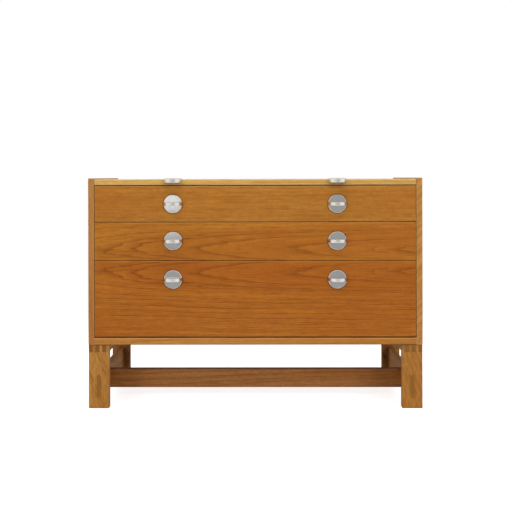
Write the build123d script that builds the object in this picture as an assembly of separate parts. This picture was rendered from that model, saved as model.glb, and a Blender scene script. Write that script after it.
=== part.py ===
from build123d import *
from math import radians, tan
import os

# Oak chest of drawers: a case with three drawers and a lift-up lid, on a separate low base.
# Millimetres, +Z up. The front faces -Y. The origin is on the floor, under the middle of the
# whole chest, grips included.

# Case
case_width = 1050.0
case_depth = 450.0
case_height = 524.0
side_thickness = 19.0
bottom_thickness = 21.5
back_thickness = 8.0
back_rebate = 10.0  # how far the back reaches into each side panel
edge_round = 1.0  # rounding on the edges of show wood
cut_margin = 1.0  # how far a cut runs past the face that it opens

# Lid and what carries it
lid_thickness = 18.0
lid_drop = 4.0  # lid's top below the tops of the side panels
lid_side_gap = 1.0
lid_rear_gap = 1.0
lid_under_gap = 3.0  # between the lid and the top drawer's front
rear_rail_thickness = 20.0

# Compartment under the lid
compartment_depth = 34.0
floor_thickness = 8.0
floor_groove = 6.0  # depth of the groove that holds the floor
floor_lip = 6.0  # wood of the rails under that groove
front_rail_thickness = 15.0
front_rail_gap = 2.0  # behind the top drawer's front
felt_thickness = 1.2
felt_radius = 6.0
felt_gap = 0.3
felt_count = 4
felt_row_inset = 80.0  # from each side panel to the first pad

# Drawer fronts: the deep drawer takes what height is left
front_thickness = 19.0
top_front_height = 112.5
middle_front_height = 119.0
front_gap = 2.0  # between two fronts, one above the other
front_bottom_gap = 4.0
front_side_gap = 1.5

# Drawer boxes
box_side_thickness = 12.0
box_back_thickness = 12.0
box_side_gap = 3.5  # between a drawer's side and the side panel
box_rear_gap = 17.0
box_headroom = 4.0  # over the top drawer's box
box_top_drop = 12.0  # box top below the front's top, on the lower drawers
box_bottom_rise = 6.0  # box bottom above the front's bottom
box_back_drop = 4.0
bottom_panel_thickness = 5.0
bottom_panel_rise = 8.0
bottom_groove = 6.0
bottom_panel_slack = 0.5
tail_length = 13.0  # half-blind dovetails into the front
tail_pitch = 38.0
tail_share = 0.66  # of the pitch, at the tail's wide end
tail_slope = 9.0  # degrees

# Runners
runner_height = 15.0
runner_thickness = 10.0
runner_gap = 0.3  # running gap above, below and before a runner
runner_groove_depth = 7.0
runner_stop = 25.0  # solid wood before the groove, which stops the closing drawer

# Pulls and grips
grip_radius = 29.0
grip_height = 10.6
grip_wall = 2.5
grip_round = 1.0
plate_thickness = 3.0
plate_chamfer = 1.3
pull_from_end = 246.2  # from the end of the drawer's front to the pull's centre
pull_below_top = 58.0  # at most this far below the front's top edge
boss_radius = 4.0
boss_length = 12.0
boss_gap = 0.3
boss_offset = 14.0
lid_plate_thickness = 2.5

# Butt hinges
hinge_length = 60.0
hinge_from_side = 206.0
leaf_width = 20.0
leaf_thickness = 2.0
knuckle_radius = 2.5
knuckle_count = 5
knuckle_gap = 0.3
hinge_pin_radius = 1.25
hinge_pin_fit = 0.05
leaf_seat_gap = 0.2

# Screws: head radius, shank radius and length
hinge_screw = (3.0, 1.5, 14.0)
back_screw = (3.5, 1.75, 22.0)
runner_screw = (3.6, 1.8, 25.0)
base_screw = (4.5, 2.3, 35.0)
pull_screw = (4.0, 2.0, 16.0)
lid_grip_screw = (4.0, 2.0, 15.0)
screw_fit = 0.05
screw_clearance = 0.3
pan_head_height = 2.4
pan_crown = (0.6, 0.45)  # flat's share of the radius, shoulder's share of the height
hinge_screw_rows = ((-20.0, 10.0), (0.0, 14.4), (20.0, 10.0))  # along and across a leaf
back_screw_inset = 60.0
back_row_count = 5
back_column_count = 3
base_screw_inset = 90.0
runner_screw_inset = 40.0
runner_screw_count = 3

# Base
base_height = 200.0
base_inset = 0.5  # legs inside the faces of the case
leg_width = 64.0
leg_thickness = 25.0
leg_round = 2.0
top_rail_thickness = 23.0
finger_pairs = 3
rail_finger_width = 13.2
side_rail_thickness = 18.0
side_rail_bottom = 32.0
side_rail_height = 75.0
side_rail_offset = -0.5  # outwards from the middle of the legs
tenon_thickness = 14.0
tenon_height = 73.0
tenon_fit = 0.05
stretcher_setback = 137.0  # behind the front face of the legs
stretcher_thickness = 22.0
stretcher_bottom = 32.0
stretcher_height = 61.0
stretcher_tenon = (10.0, 10.0, 45.0)  # length, thickness, height

# Places worked out from the sizes above
grip_reach = grip_radius
front_y = (grip_reach - case_depth) / 2
back_y = front_y + case_depth
back_inner_y = back_y - back_thickness
case_half = case_width / 2
inside_half = case_half - side_thickness
case_bottom_z = base_height
case_top_z = base_height + case_height
inside_bottom_z = case_bottom_z + bottom_thickness

lid_top_z = case_top_z - lid_drop
lid_bottom_z = lid_top_z - lid_thickness
rear_rail_y = back_inner_y - rear_rail_thickness
lid_rear_y = rear_rail_y - lid_rear_gap
lid_half = inside_half - lid_side_gap
hinge_y = rear_rail_y - lid_rear_gap / 2
hinge_z = lid_top_z - leaf_thickness + knuckle_radius
hinge_x = inside_half - hinge_from_side

floor_top_z = lid_bottom_z - compartment_depth
floor_bottom_z = floor_top_z - floor_thickness
rails_bottom_z = floor_bottom_z - floor_lip
front_rail_y = front_y + front_thickness + front_rail_gap
front_rail_rear_y = front_rail_y + front_rail_thickness
front_rail_top_z = lid_bottom_z - felt_gap - felt_thickness

front_half = inside_half - front_side_gap
front_rear_y = front_y + front_thickness
box_half = inside_half - box_side_gap
box_inner_half = box_half - box_side_thickness
box_rear_y = back_inner_y - box_rear_gap
pull_x = front_half - pull_from_end

top_front_z = lid_bottom_z - lid_under_gap
middle_front_z = top_front_z - top_front_height - front_gap
deep_front_z = middle_front_z - middle_front_height - front_gap
deep_front_bottom_z = inside_bottom_z + front_bottom_gap

leg_outer = case_half - base_inset
leg_inner = leg_outer - leg_width
base_front_y = front_y + base_inset
base_rear_y = back_y - base_inset
top_rail_bottom_z = base_height - top_rail_thickness
leg_finger_width = leg_width / finger_pairs - rail_finger_width
side_rail_x = (leg_outer + leg_inner) / 2 + side_rail_offset
side_rail_z = side_rail_bottom + side_rail_height / 2
stretcher_y = base_front_y + stretcher_setback

sides = {"left": -1, "right": 1}


def block(x_span, y_span, z_span):
    (x0, x1), (y0, y1), (z0, z1) = sorted(x_span), sorted(y_span), sorted(z_span)
    middle = Pos((x0 + x1) / 2, (y0 + y1) / 2, (z0 + z1) / 2)
    return middle * Box(x1 - x0, y1 - y0, z1 - z0)


def board(x_span, y_span, z_span, radius=edge_round):
    solid = block(x_span, y_span, z_span)
    return fillet(solid.edges(), radius)


def turned(outline, place):
    # Outline points are (radius, height) about the local Z axis.
    return place * revolve(Plane.XZ * Polygon(*outline, align=None), Axis.Z)


def flat_screw(size, place, grow=0.0):
    # Countersunk screw: the head's flat top lies at the place, and the shank runs to local -Z.
    head, shank, length = size
    head_depth = head - shank
    outline = [
        (0, 0),
        (head + grow, 0),
        (shank + grow, -head_depth),
        (shank + grow, -length + shank),
        (0, -length - grow),
    ]
    return turned(outline, place)


def pan_screw(size, place):
    # The head's underside lies at the place, and the shank runs to local -Z.
    head, shank, length = size
    outline = [
        (0, pan_head_height),
        (head * pan_crown[0], pan_head_height),
        (head, pan_head_height * pan_crown[1]),
        (head, 0),
        (shank, 0),
        (shank, -length),
        (0, -length),
    ]
    return turned(outline, place)


def rod(radius, length, place):
    # Starts at the place and runs along local +Z.
    return place * Pos(0, 0, length / 2) * Cylinder(radius, length)


def facing(x, y, z, direction):
    return Plane(origin=(x, y, z), z_dir=direction).location


def group(solids):
    return Compound(children=[piece.solids()[0] for piece in solids])


def spread(low, high, count):
    step = (high - low) / (count - 1)
    return [low + step * index for index in range(count)]


# Screw places. Each is where the head's flat top lies, with the direction it faces.
side_screw_x = inside_half + back_rebate / 2
rear_rail_middle_z = (rails_bottom_z + lid_top_z) / 2
bottom_middle_z = case_bottom_z + bottom_thickness / 2
back_row_end = inside_half - back_screw_inset
back_row_x = spread(-back_row_end, back_row_end, back_row_count)
back_column = spread(case_bottom_z + back_screw_inset, rails_bottom_z - back_screw_inset, back_column_count)
back_places = [facing(x, back_y, rear_rail_middle_z, (0, 1, 0)) for x in back_row_x]
back_places += [facing(x, back_y, bottom_middle_z, (0, 1, 0)) for x in back_row_x]
for sign in sides.values():
    back_places += [facing(sign * side_screw_x, back_y, z, (0, 1, 0)) for z in back_column]

base_row_y = (base_front_y + base_screw_inset, base_rear_y - base_screw_inset)
base_screw_x = (leg_outer + leg_inner) / 2
base_places = [
    facing(sign * base_screw_x, row_y, top_rail_bottom_z, (0, 0, -1))
    for sign in sides.values()
    for row_y in base_row_y
]


def hinge_places(direction):
    # Screws through the leaves on one side of the hinges' axis: -1 is the lid's, 1 the rail's.
    return [
        facing(sign * hinge_x + along, hinge_y + direction * across, lid_top_z, (0, 0, 1))
        for sign in sides.values()
        for along, across in hinge_screw_rows
    ]


def drawer_sizes():
    # By name: bottom and top of the front, then bottom and top of the box
    fronts = {
        "drawer_1": (top_front_z - top_front_height, top_front_z),
        "drawer_2": (middle_front_z - middle_front_height, middle_front_z),
        "drawer_3": (deep_front_bottom_z, deep_front_z),
    }
    box_tops = {
        "drawer_1": rails_bottom_z - box_headroom,
        "drawer_2": middle_front_z - box_top_drop,
        "drawer_3": deep_front_z - box_top_drop,
    }
    return {
        name: (low, high, low + box_bottom_rise, box_tops[name])
        for name, (low, high) in fronts.items()
    }


drawers = drawer_sizes()


def runner_z(name):
    return sum(drawers[name][2:]) / 2


runner_front_y = front_rear_y + runner_stop + runner_gap
runner_inner = inside_half - runner_thickness


def runner_places(name, sign):
    row = spread(
        runner_front_y + runner_screw_inset, back_inner_y - runner_screw_inset, runner_screw_count
    )
    return [facing(sign * runner_inner, y, runner_z(name), (-sign, 0, 0)) for y in row]


def compartment_floor():
    return block(
        (-inside_half - floor_groove, inside_half + floor_groove),
        (front_rail_rear_y - floor_groove, rear_rail_y + floor_groove),
        (floor_bottom_z, floor_top_z),
    )


def side_panel(sign):
    panel = board((sign * inside_half, sign * case_half), (front_y, back_y), (case_bottom_z, case_top_z))
    panel -= block(
        (sign * (inside_half - cut_margin), sign * (inside_half + back_rebate)),
        (back_inner_y, back_y + cut_margin),
        (case_bottom_z - cut_margin, lid_top_z),
    )
    panel -= compartment_floor()
    for place in back_places:
        panel -= flat_screw(back_screw, place, screw_fit)
    for name in drawers:
        for place in runner_places(name, sign):
            panel -= flat_screw(runner_screw, place, screw_fit)
    return panel


def bottom_panel():
    panel = board((-inside_half, inside_half), (front_y, back_inner_y), (case_bottom_z, inside_bottom_z))
    for place in back_places:
        panel -= flat_screw(back_screw, place, screw_fit)
    for place in base_places:
        panel -= flat_screw(base_screw, place, screw_fit)
    return panel


def back_panel():
    panel = block(
        (-inside_half - back_rebate, inside_half + back_rebate),
        (back_inner_y, back_y),
        (case_bottom_z, lid_top_z),
    )
    for place in back_places:
        panel -= flat_screw(back_screw, place, screw_fit)
    return panel


def compartment_front():
    rail = block(
        (-inside_half, inside_half), (front_rail_y, front_rail_rear_y), (rails_bottom_z, front_rail_top_z)
    )
    return rail - compartment_floor()


def felt_pads():
    middle_y = (front_rail_y + front_rail_rear_y) / 2
    row_end = inside_half - felt_row_inset
    row = spread(-row_end, row_end, felt_count)
    return group([rod(felt_radius, felt_thickness, Pos(x, middle_y, front_rail_top_z)) for x in row])


def hinge_seat(direction):
    # Recess for both leaves on one side of the axis, and the round notch for the knuckles.
    solid = None
    for sign in sides.values():
        half = hinge_length / 2 + leaf_seat_gap
        x_span = (sign * hinge_x - half, sign * hinge_x + half)
        seat = block(
            x_span,
            (hinge_y, hinge_y + direction * (leaf_width + leaf_seat_gap)),
            (lid_top_z - leaf_thickness, lid_top_z + leaf_thickness),
        )
        start = facing(x_span[0], hinge_y, hinge_z, (1, 0, 0))
        seat += rod(knuckle_radius + 2 * knuckle_gap, 2 * half, start)
        solid = seat if solid is None else solid + seat
    return solid


def hinge_leaf(sign, direction):
    # Plate, with every second knuckle: the odd ones on the lid, the even ones on the rear rail.
    middle_x = sign * hinge_x
    segment = (hinge_length - knuckle_gap * (knuckle_count - 1)) / knuckle_count
    clear = knuckle_radius + knuckle_gap
    z_span = (lid_top_z - leaf_thickness, lid_top_z)
    leaf = block(
        (middle_x - hinge_length / 2, middle_x + hinge_length / 2),
        (hinge_y + direction * clear, hinge_y + direction * leaf_width),
        z_span,
    )
    first = 1 if direction < 0 else 0
    for index in range(first, knuckle_count, 2):
        start_x = middle_x - hinge_length / 2 + index * (segment + knuckle_gap)
        leaf += block((start_x, start_x + segment), (hinge_y, hinge_y + direction * clear), z_span)
        leaf += rod(knuckle_radius, segment, facing(start_x, hinge_y, hinge_z, (1, 0, 0)))
    bore_start = facing(middle_x - hinge_length, hinge_y, hinge_z, (1, 0, 0))
    leaf -= rod(hinge_pin_radius + hinge_pin_fit, 2 * hinge_length, bore_start)
    for place in hinge_places(direction):
        leaf -= flat_screw(hinge_screw, place, screw_fit)
    return leaf


def hinge_pins():
    return group([
        rod(hinge_pin_radius, hinge_length,
            facing(sign * hinge_x - hinge_length / 2, hinge_y, hinge_z, (1, 0, 0)))
        for sign in sides.values()
    ])


def rear_rail():
    rail = board((-inside_half, inside_half), (rear_rail_y, back_inner_y), (rails_bottom_z, lid_top_z))
    rail -= compartment_floor()
    rail -= hinge_seat(1)
    for place in hinge_places(1):
        rail -= flat_screw(hinge_screw, place, screw_fit)
    for place in back_places:
        rail -= flat_screw(back_screw, place, screw_fit)
    return rail


def lid_grip_screw_places():
    return [
        facing(sign * pull_x + across * boss_offset, front_y + boss_offset, lid_bottom_z, (0, 0, -1))
        for sign in sides.values()
        for across in (-1, 1)
    ]


def lid_panel():
    lid = board((-lid_half, lid_half), (front_y, lid_rear_y), (lid_bottom_z, lid_top_z))
    lid -= hinge_seat(-1)
    for place in hinge_places(-1):
        lid -= flat_screw(hinge_screw, place, screw_fit)
    for place in lid_grip_screw_places():
        lid -= flat_screw(lid_grip_screw, place, screw_clearance)
        boss_mouth = place * Pos(0, 0, -lid_thickness)
        lid -= rod(boss_radius + boss_gap, boss_length + boss_gap, boss_mouth)
    return lid


def half_moon(radius, height):
    # Half disc before the plane y = 0, standing on z = 0.
    disc = Pos(0, 0, height / 2) * Cylinder(radius, height)
    return disc & block((-2 * radius, 2 * radius), (-2 * radius, 0), (-height, 2 * height))


def boss(place):
    # Threaded boss along local +Z, open at its far end for the screw.
    bore_start = place * Pos(0, 0, grip_wall)
    solid = rod(boss_radius, boss_length, place)
    return solid - rod(pull_screw[1] + screw_fit, boss_length, bore_start)


def round_outer_arcs(solid, radius):
    arcs = solid.edges().filter_by(GeomType.CIRCLE)
    outer = [edge for edge in arcs if abs(edge.radius - radius) < 0.01]
    return fillet(outer, grip_round)


def drawer_pull():
    # The wood's surface is y = 0, and the pull's centre is the origin.
    inner_radius = grip_radius - grip_wall
    grip = round_outer_arcs(half_moon(grip_radius, grip_height), grip_radius)
    finger_room = half_moon(inner_radius, grip_height) & block(
        (-grip_radius, grip_radius), (-grip_radius, -plate_thickness), (-grip_wall, grip_height)
    )
    grip = Pos(0, 0, -grip_height / 2) * (grip - Pos(0, 0, -grip_wall) * finger_room)
    outline = [
        (0, 0),
        (grip_radius, 0),
        (grip_radius, plate_thickness - plate_chamfer),
        (grip_radius - plate_chamfer, plate_thickness),
        (0, plate_thickness),
    ]
    pull = turned(outline, facing(0, 0, 0, (0, -1, 0))) + grip
    for across in (-1, 1):
        pull += boss(facing(across * boss_offset, 0, 0, (0, 1, 0)))
    return pull


def lid_grip():
    # The lid's front top edge is the line y = 0, z = 0, and the grip's centre is the origin.
    inner_radius = grip_radius - grip_wall
    outline = [
        (0, 0),
        (grip_radius, 0),
        (grip_radius, lid_plate_thickness - grip_round),
        (grip_radius - grip_round, lid_plate_thickness),
        (0, lid_plate_thickness),
    ]
    rim = half_moon(grip_radius, grip_height) - half_moon(inner_radius, grip_height)
    grip = turned(outline, Pos(0, 0, 0)) + Pos(0, 0, -grip_height) * rim
    for across in (-1, 1):
        grip += boss(facing(across * boss_offset, boss_offset, 0, (0, 0, -1)))
    return grip


def pull_places(name):
    low, high = drawers[name][:2]
    drop = min(pull_below_top, (high - low) / 2)
    return {side: (sign * pull_x, high - drop) for side, sign in sides.items()}


def box_tails(sign, box_low, box_high):
    # Dovetails of a drawer's side, which the front has the sockets of.
    height = box_high - box_low
    count = max(2, round(height / tail_pitch))
    pitch = height / count
    half_end = pitch * tail_share / 2
    half_root = half_end - tail_length * tan(radians(tail_slope))
    solids = []
    for index in range(count):
        middle_z = box_low + pitch * (index + 0.5)
        start_x = min(sign * box_inner_half, sign * box_half)
        plane = Plane(origin=(start_x, front_rear_y, middle_z), x_dir=(0, 1, 0), z_dir=(1, 0, 0))
        outline = [(0, -half_root), (0, half_root), (-tail_length, half_end), (-tail_length, -half_end)]
        tail = extrude(plane * Polygon(*outline, align=None), box_side_thickness)
        solids.append(tail)
    return solids


def drawer_bottom(name, slack):
    reach = bottom_groove - slack
    floor_z = drawers[name][2] + bottom_panel_rise
    return block(
        (-box_inner_half - reach, box_inner_half + reach),
        (front_rear_y - reach, box_rear_y - slack),
        (floor_z, floor_z + bottom_panel_thickness),
    )


def drawer_front(name):
    low, high, box_low, box_high = drawers[name]
    front = board((-front_half, front_half), (front_y, front_rear_y), (low, high))
    front -= drawer_bottom(name, 0.0)
    for sign in sides.values():
        for tail in box_tails(sign, box_low, box_high):
            front -= tail
    for x, z in pull_places(name).values():
        for across in (-1, 1):
            mouth = facing(x + across * boss_offset, front_y, z, (0, 1, 0))
            front -= rod(boss_radius + boss_gap, boss_length + boss_gap, mouth)
            front -= rod(pull_screw[1] + screw_clearance, front_thickness, mouth)
    return front


def drawer_side(name, sign):
    box_low, box_high = drawers[name][2:]
    side = block((sign * box_inner_half, sign * box_half), (front_rear_y, box_rear_y), (box_low, box_high))
    top_edges = side.faces().sort_by(Axis.Z)[-1].edges().filter_by(Axis.Y)
    side = fillet(top_edges, edge_round)
    for tail in box_tails(sign, box_low, box_high):
        side += tail
    groove_half = runner_height / 2 + runner_gap
    side -= block(
        (sign * (box_half - runner_groove_depth), sign * (box_half + cut_margin)),
        (front_rear_y + runner_stop, box_rear_y + cut_margin),
        (runner_z(name) - groove_half, runner_z(name) + groove_half),
    )
    return side - drawer_bottom(name, 0.0)


def drawer_back(name):
    box_low, box_high = drawers[name][2:]
    back = block(
        (-box_inner_half, box_inner_half),
        (box_rear_y - box_back_thickness, box_rear_y),
        (box_low + bottom_panel_rise + bottom_panel_thickness, box_high - box_back_drop),
    )
    return fillet(back.faces().sort_by(Axis.Z)[-1].edges().filter_by(Axis.X), edge_round)


def pull_screws(name):
    return group([
        pan_screw(pull_screw, facing(x + across * boss_offset, front_rear_y, z, (0, 1, 0)))
        for x, z in pull_places(name).values()
        for across in (-1, 1)
    ])


def runner(name, sign):
    strip = block(
        (sign * runner_inner, sign * inside_half),
        (runner_front_y, back_inner_y),
        (runner_z(name) - runner_height / 2, runner_z(name) + runner_height / 2),
    )
    for place in runner_places(name, sign):
        strip -= flat_screw(runner_screw, place, screw_fit)
    return strip


def leg_fingers(sign, y_span):
    # The top rail's fingers start at the outer edge, and the leg's fingers lie between them.
    pitch = rail_finger_width + leg_finger_width
    z_span = (top_rail_bottom_z, base_height)
    solids = []
    for index in range(finger_pairs):
        outer = leg_outer - index * pitch - rail_finger_width
        solids.append(block((sign * outer, sign * (outer - leg_finger_width)), y_span, z_span))
    return solids


leg_spans = {
    "front": (base_front_y, base_front_y + leg_thickness),
    "rear": (base_rear_y - leg_thickness, base_rear_y),
}


def side_rail(sign, fit=0.0):
    # The tenons run right through both legs. A fit above 0 gives their mortises.
    middle_x = sign * side_rail_x
    half = side_rail_thickness / 2
    inner_span = (leg_spans["front"][1], leg_spans["rear"][0])
    rail = block((middle_x - half, middle_x + half), inner_span,
                 (side_rail_bottom, side_rail_bottom + side_rail_height))
    rail = fillet(rail.edges().filter_by(Axis.Y), edge_round)
    section = SlotOverall(tenon_height + 2 * fit, tenon_thickness + 2 * fit)
    plane = Plane(origin=(middle_x, base_front_y, side_rail_z), x_dir=(0, 0, 1), z_dir=(0, 1, 0))
    tenons = extrude(plane * section, base_rear_y - base_front_y)
    return rail + tenons


def leg(sign, y_span):
    solid = block((sign * leg_inner, sign * leg_outer), y_span, (0, base_height))
    solid = fillet(solid.edges().filter_by(Axis.Z), leg_round)
    solid = fillet(solid.faces().sort_by(Axis.Z)[0].edges(), leg_round)
    y_cut = (y_span[0] - cut_margin, y_span[1] + cut_margin)
    zone = block((sign * (leg_inner - cut_margin), sign * (leg_outer + cut_margin)), y_cut,
                 (top_rail_bottom_z, base_height + cut_margin))
    for finger in leg_fingers(sign, y_cut):
        zone -= finger
    solid -= zone
    return solid - side_rail(sign, tenon_fit)


def top_rail(sign):
    rail = block((sign * leg_inner, sign * leg_outer), (base_front_y, base_rear_y),
                 (top_rail_bottom_z, base_height))
    rail = fillet(rail.edges().filter_by(Axis.Z), leg_round)
    for y_span in leg_spans.values():
        for finger in leg_fingers(sign, y_span):
            rail -= finger
    for place in base_places:
        rail -= flat_screw(base_screw, place, screw_fit)
    return rail


def stretcher():
    end = side_rail_x - side_rail_thickness / 2
    tenon_length, tenon_depth, tenon_tall = stretcher_tenon
    y_span = (stretcher_y, stretcher_y + stretcher_thickness)
    middle_y = sum(y_span) / 2
    middle_z = stretcher_bottom + stretcher_height / 2
    beam = block((-end, end), y_span, (stretcher_bottom, stretcher_bottom + stretcher_height))
    beam = fillet(beam.edges().filter_by(Axis.X), edge_round)
    return beam + block(
        (-end - tenon_length, end + tenon_length),
        (middle_y - tenon_depth / 2, middle_y + tenon_depth / 2),
        (middle_z - tenon_tall / 2, middle_z + tenon_tall / 2),
    )


# Every piece by name
cross_beam = stretcher()
pieces = {
    "bottom_panel": bottom_panel(),
    "back_panel": back_panel(),
    "rear_rail": rear_rail(),
    "compartment_floor": compartment_floor(),
    "compartment_front": compartment_front(),
    "felt_pads": felt_pads(),
    "back_screws": group([flat_screw(back_screw, place) for place in back_places]),
    "base_screws": group([flat_screw(base_screw, place) for place in base_places]),
    "lid_panel": lid_panel(),
    "lid_grip_screws": group([flat_screw(lid_grip_screw, place) for place in lid_grip_screw_places()]),
    "hinge_rail_leaves": group([hinge_leaf(sign, 1) for sign in sides.values()]),
    "hinge_lid_leaves": group([hinge_leaf(sign, -1) for sign in sides.values()]),
    "hinge_pins": hinge_pins(),
    "hinge_rail_screws": group([flat_screw(hinge_screw, place) for place in hinge_places(1)]),
    "hinge_lid_screws": group([flat_screw(hinge_screw, place) for place in hinge_places(-1)]),
    "stretcher": cross_beam,
}

runner_screw_places = []
for side, sign in sides.items():
    pieces[f"side_panel_{side}"] = side_panel(sign)
    pieces[f"lid_grip_{side}"] = Pos(sign * pull_x, front_y, lid_top_z) * lid_grip()
    pieces[f"base_top_rail_{side}"] = top_rail(sign)
    pieces[f"base_side_rail_{side}"] = side_rail(sign) - cross_beam
    for end, y_span in leg_spans.items():
        pieces[f"leg_{end}_{side}"] = leg(sign, y_span)
    for name in drawers:
        pieces[f"{name}_runner_{side}"] = runner(name, sign)
        pieces[f"{name}_side_{side}"] = drawer_side(name, sign)
        runner_screw_places += runner_places(name, sign)
pieces["runner_screws"] = group([flat_screw(runner_screw, place) for place in runner_screw_places])

pull = drawer_pull()
for name in drawers:
    pieces[f"{name}_front"] = drawer_front(name)
    pieces[f"{name}_back"] = drawer_back(name)
    pieces[f"{name}_bottom"] = drawer_bottom(name, bottom_panel_slack)
    pieces[f"{name}_pull_screws"] = pull_screws(name)
    for side, (x, z) in pull_places(name).items():
        pieces[f"{name}_pull_{side}"] = Pos(x, front_y, z) * pull

os.makedirs("parts", exist_ok=True)
for node, shape in pieces.items():
    export_step(shape, f"parts/{node}.step")
print(len(pieces), "pieces")
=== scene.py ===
import math

import bmesh
import bpy
from mathutils import Matrix, Vector


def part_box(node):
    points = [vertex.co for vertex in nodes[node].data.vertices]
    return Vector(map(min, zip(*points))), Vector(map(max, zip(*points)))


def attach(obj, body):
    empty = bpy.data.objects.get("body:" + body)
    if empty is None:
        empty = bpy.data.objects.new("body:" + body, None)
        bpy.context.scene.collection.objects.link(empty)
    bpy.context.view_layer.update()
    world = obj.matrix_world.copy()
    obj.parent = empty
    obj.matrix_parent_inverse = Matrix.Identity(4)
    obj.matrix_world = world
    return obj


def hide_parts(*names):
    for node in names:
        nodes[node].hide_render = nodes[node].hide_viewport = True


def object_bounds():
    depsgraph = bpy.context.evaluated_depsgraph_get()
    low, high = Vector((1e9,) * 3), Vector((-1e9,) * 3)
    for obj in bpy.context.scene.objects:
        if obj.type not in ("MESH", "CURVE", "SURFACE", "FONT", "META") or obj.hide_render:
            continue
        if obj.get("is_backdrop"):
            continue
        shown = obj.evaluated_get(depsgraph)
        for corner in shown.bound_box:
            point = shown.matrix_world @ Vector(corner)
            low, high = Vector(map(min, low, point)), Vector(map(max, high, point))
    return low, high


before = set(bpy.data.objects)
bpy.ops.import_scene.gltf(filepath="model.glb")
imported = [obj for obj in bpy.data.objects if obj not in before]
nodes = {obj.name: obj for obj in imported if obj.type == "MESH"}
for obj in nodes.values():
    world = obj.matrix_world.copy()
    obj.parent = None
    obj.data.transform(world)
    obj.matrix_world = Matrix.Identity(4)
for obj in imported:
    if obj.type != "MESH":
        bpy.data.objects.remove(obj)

scene = bpy.context.scene
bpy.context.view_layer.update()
drawerNames = ("drawer_1", "drawer_2", "drawer_3")
sideNames = ("left", "right")
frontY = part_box("side_panel_left")[0].y
pullLow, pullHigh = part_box("drawer_1_pull_left")
pullRadius = (pullHigh.x - pullLow.x) / 2
pullMiddles = {}
for name in drawerNames:
    pullMiddles[name + "_front"] = [sum(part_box(f"{name}_pull_{side}"), Vector()) / 2 for side in sideNames]
print("frame loaded:", len(nodes), "nodes")


# Small helpers for node trees

def srgb(red, green, blue):
    def linear(level):
        level /= 255
        return level / 12.92 if level <= 0.04045 else ((level + 0.055) / 1.055) ** 2.4
    return (linear(red), linear(green), linear(blue), 1.0)


def tinted(colour, tint):
    return tuple(min(1.0, level * part) for level, part in zip(colour, tint)) + (1.0,)


def feed(tree, socket, value):
    if isinstance(value, bpy.types.NodeSocket):
        tree.links.new(value, socket)
    else:
        socket.default_value = value


def addNode(tree, kind, inputs=None, **settings):
    node = tree.nodes.new("ShaderNode" + kind)
    for name, value in settings.items():
        setattr(node, name, value)
    for key, value in (inputs or {}).items():
        feed(tree, node.inputs[key], value)
    return node


def calc(tree, operation, *values, clamp=False):
    node = addNode(tree, "Math", operation=operation, use_clamp=clamp)
    for socket, value in zip(node.inputs, values):
        feed(tree, socket, value)
    return node.outputs[0]


def total(tree, *parts):
    # Adds up (value, weight) pairs
    whole = None
    for value, weight in parts:
        share = calc(tree, "MULTIPLY", value, weight)
        whole = share if whole is None else calc(tree, "ADD", whole, share)
    return whole


def vectorCalc(tree, operation, *values):
    node = addNode(tree, "VectorMath", operation=operation)
    for socket, value in zip(node.inputs, values):
        feed(tree, socket, value)
    return node.outputs["Value" if operation == "LENGTH" else "Vector"]


def mixed(tree, factor, first, second, blend="MIX"):
    node = addNode(tree, "Mix", data_type="RGBA", blend_type=blend)
    feed(tree, node.inputs[0], factor)
    feed(tree, node.inputs[6], first)
    feed(tree, node.inputs[7], second)
    return node.outputs[2]


def step(tree, value, low, high, toLow=0.0, toHigh=1.0):
    places = {"Value": value, "From Min": low, "From Max": high, "To Min": toLow, "To Max": toHigh}
    return addNode(tree, "MapRange", places, interpolation_type="SMOOTHSTEP").outputs[0]


def noise(tree, vector, stretch, detail=2.0, rough=0.5):
    scaled = vectorCalc(tree, "MULTIPLY", vector, stretch)
    return addNode(tree, "TexNoise", {"Vector": scaled, "Scale": 1.0, "Detail": detail, "Roughness": rough})


def newMaterial(name):
    material = bpy.data.materials.new(name)
    material.use_nodes = True
    return material, material.node_tree, material.node_tree.nodes["Principled BSDF"]


def relief(tree, shader, height, strength, depth):
    bump = addNode(tree, "Bump", {"Height": height, "Strength": strength, "Distance": depth})
    feed(tree, shader.inputs["Normal"], bump.outputs[0])


# Wood: growth rings about the heart of a log that lies along the grain, with fibres, pores and rays

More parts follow.
